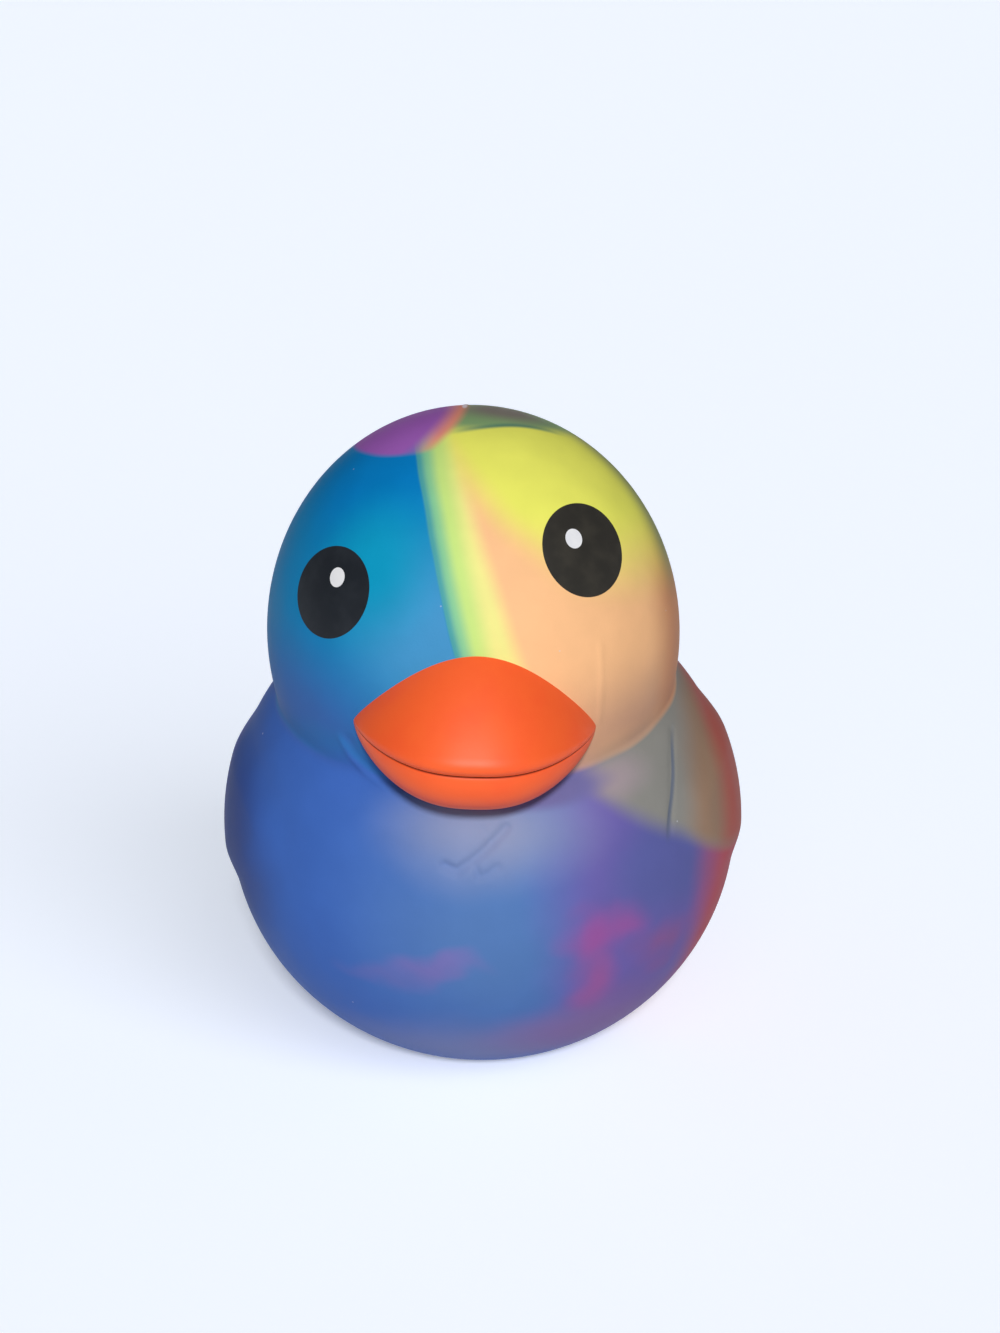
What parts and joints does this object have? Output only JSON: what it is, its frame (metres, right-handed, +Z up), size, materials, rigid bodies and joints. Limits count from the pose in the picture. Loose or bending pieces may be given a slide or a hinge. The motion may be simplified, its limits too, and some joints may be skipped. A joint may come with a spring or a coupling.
{
  "type": "squishy duck toy",
  "caption": "Palm-sized duck moulded in one piece of soft slow-rising foam, with a round body and head, low wings, an upturned tail and a flat bill, to squeeze and let spring back.",
  "frame": {"origin": "centre of the flat face the duck stands on", "axes": "+Z up, the duck faces -Y, +X is the duck's left and the viewer's right"},
  "size_m": [0.0636, 0.0768, 0.0801],
  "materials": {
    "foam_skin": "matte marbled foam skin, blue to violet with yellow, peach and red",
    "bill_paint": "satin orange paint on the bill",
    "eye_print": "near-black eyes printed on the head",
    "eye_glint": "white glints printed on the eyes"
  },
  "bodies": {
    "root": {"duck_body": "foam_skin"}
  },
  "joints": []
}
